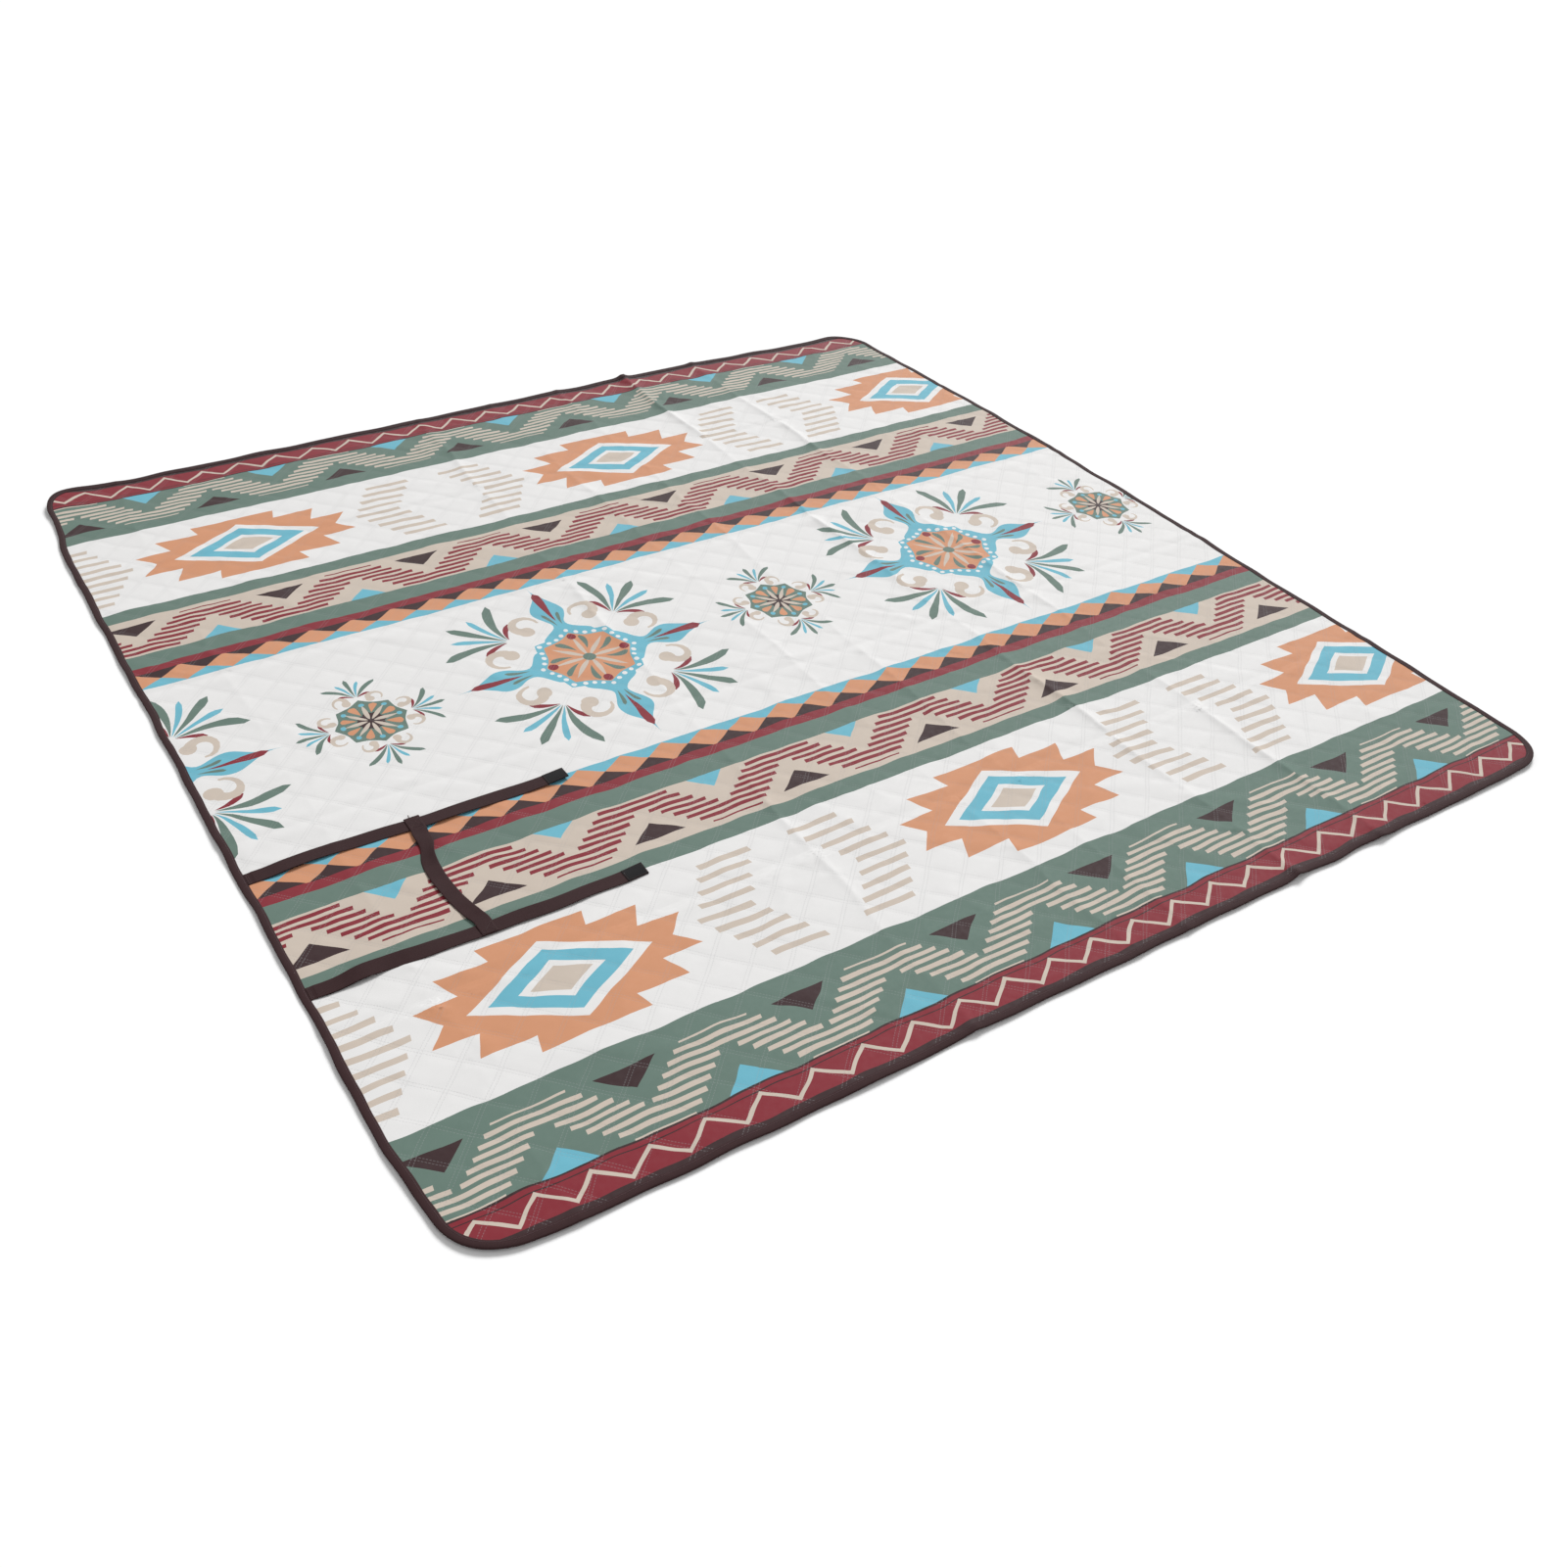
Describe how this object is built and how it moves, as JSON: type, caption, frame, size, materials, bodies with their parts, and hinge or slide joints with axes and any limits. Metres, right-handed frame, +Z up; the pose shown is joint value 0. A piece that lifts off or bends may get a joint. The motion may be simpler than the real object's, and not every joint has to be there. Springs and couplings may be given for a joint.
{
  "type": "camp blanket",
  "caption": "Square quilted camp blanket with bound edges and rounded corners, folding at its storage creases, with a webbing strap harness and carry handle sewn into one edge.",
  "frame": {"origin": "centre of the blanket's underside where it lies on the ground", "axes": "+Z up from the ground, +X along the printed bands and away from the edge that carries the harness, +Y toward the far edge"},
  "size_m": [2, 2, 0.0069],
  "materials": {
    "printed_cloth": "matt printed woven cloth in dark red, sage green, beige, dark brown, white, turquoise and orange",
    "wadding": "white polyester wadding",
    "backing": "dark coated waterproof cloth, slight sheen",
    "binding_tape": "dark brown woven tape, matt",
    "webbing": "dark brown woven webbing, matt with a fine rib",
    "hook_tape": "black hook tape, rough",
    "loop_tape": "black loop tape, soft pile",
    "thread": "dark brown sewing thread"
  },
  "bodies": {
    "carry_panel": {"top_sheet_carry": "printed_cloth", "wadding_carry": "wadding", "backing_carry": "backing", "binding_left_carry": "binding_tape", "binding_right_carry": "binding_tape", "binding_seam_carry": "thread", "strap_foot_far": "webbing", "strap_foot_near": "webbing", "strap_foot_stitches_far": "thread", "strap_foot_stitches_near": "thread"},
    "near_panel": {"top_sheet_near": "printed_cloth", "wadding_near": "wadding", "backing_near": "backing", "binding_left_near": "binding_tape", "binding_right_near": "binding_tape", "binding_seam_near": "thread", "binding_near_edge": "binding_tape"},
    "middle_panel": {"top_sheet_middle": "printed_cloth", "wadding_middle": "wadding", "backing_middle": "backing", "binding_left_middle": "binding_tape", "binding_right_middle": "binding_tape", "binding_seam_middle": "thread"},
    "inner_panel": {"top_sheet_inner": "printed_cloth", "wadding_inner": "wadding", "backing_inner": "backing", "binding_left_inner": "binding_tape", "binding_right_inner": "binding_tape", "binding_seam_inner": "thread"},
    "far_panel": {"top_sheet_far": "printed_cloth", "wadding_far": "wadding", "backing_far": "backing", "binding_left_far": "binding_tape", "binding_right_far": "binding_tape", "binding_seam_far": "thread", "binding_far_edge": "binding_tape"},
    "harness": {"strap_far": "webbing", "loop_patch_far": "loop_tape", "handle_end_far": "webbing", "handle_stitches_far": "thread", "strap_near": "webbing", "loop_patch_near": "loop_tape", "handle_end_near": "webbing", "handle_stitches_near": "thread"},
    "far_tail": {"strap_tail_far": "webbing", "hook_patch_far": "hook_tape", "hook_stitches_far": "thread"},
    "near_tail": {"strap_tail_near": "webbing", "hook_patch_near": "hook_tape", "hook_stitches_near": "thread"},
    "handle": {"carry_handle": "webbing"}
  },
  "joints": [
    {"name": "crease_near", "type": "hinge", "parent": "carry_panel", "child": "near_panel", "pos_m": [0, -0.596, 0.009], "axis": [1, 0, 0], "range_deg": [-180, 0]},
    {"name": "crease_middle", "type": "hinge", "parent": "carry_panel", "child": "middle_panel", "pos_m": [0, -0.18, 0.026], "axis": [-1, 0, 0], "range_deg": [-180, 0]},
    {"name": "crease_inner", "type": "hinge", "parent": "middle_panel", "child": "inner_panel", "pos_m": [0, 0.25, 0.0145], "axis": [-1, 0, 0], "range_deg": [-180, 0]},
    {"name": "crease_far", "type": "hinge", "parent": "inner_panel", "child": "far_panel", "pos_m": [0, 0.64, 0.0095], "axis": [-1, 0, 0], "range_deg": [-180, 0]},
    {"name": "harness_flip", "type": "hinge", "parent": "carry_panel", "child": "harness", "pos_m": [-0.978, -0.388, 0.0054], "axis": [0, 1, 0], "range_deg": [-180, 0]},
    {"name": "tail_far_fold", "type": "hinge", "parent": "harness", "child": "far_tail", "pos_m": [-0.69, -0.261, 0.0062], "axis": [0, -1, 0], "range_deg": [0, 170]},
    {"name": "tail_near_fold", "type": "hinge", "parent": "harness", "child": "near_tail", "pos_m": [-0.69, -0.515, 0.0062], "axis": [0, -1, 0], "range_deg": [0, 170]},
    {"name": "handle_lift", "type": "slide", "parent": "harness", "child": "handle", "axis": [0, 0, 1], "range_m": [0, 0.025]}
  ]
}
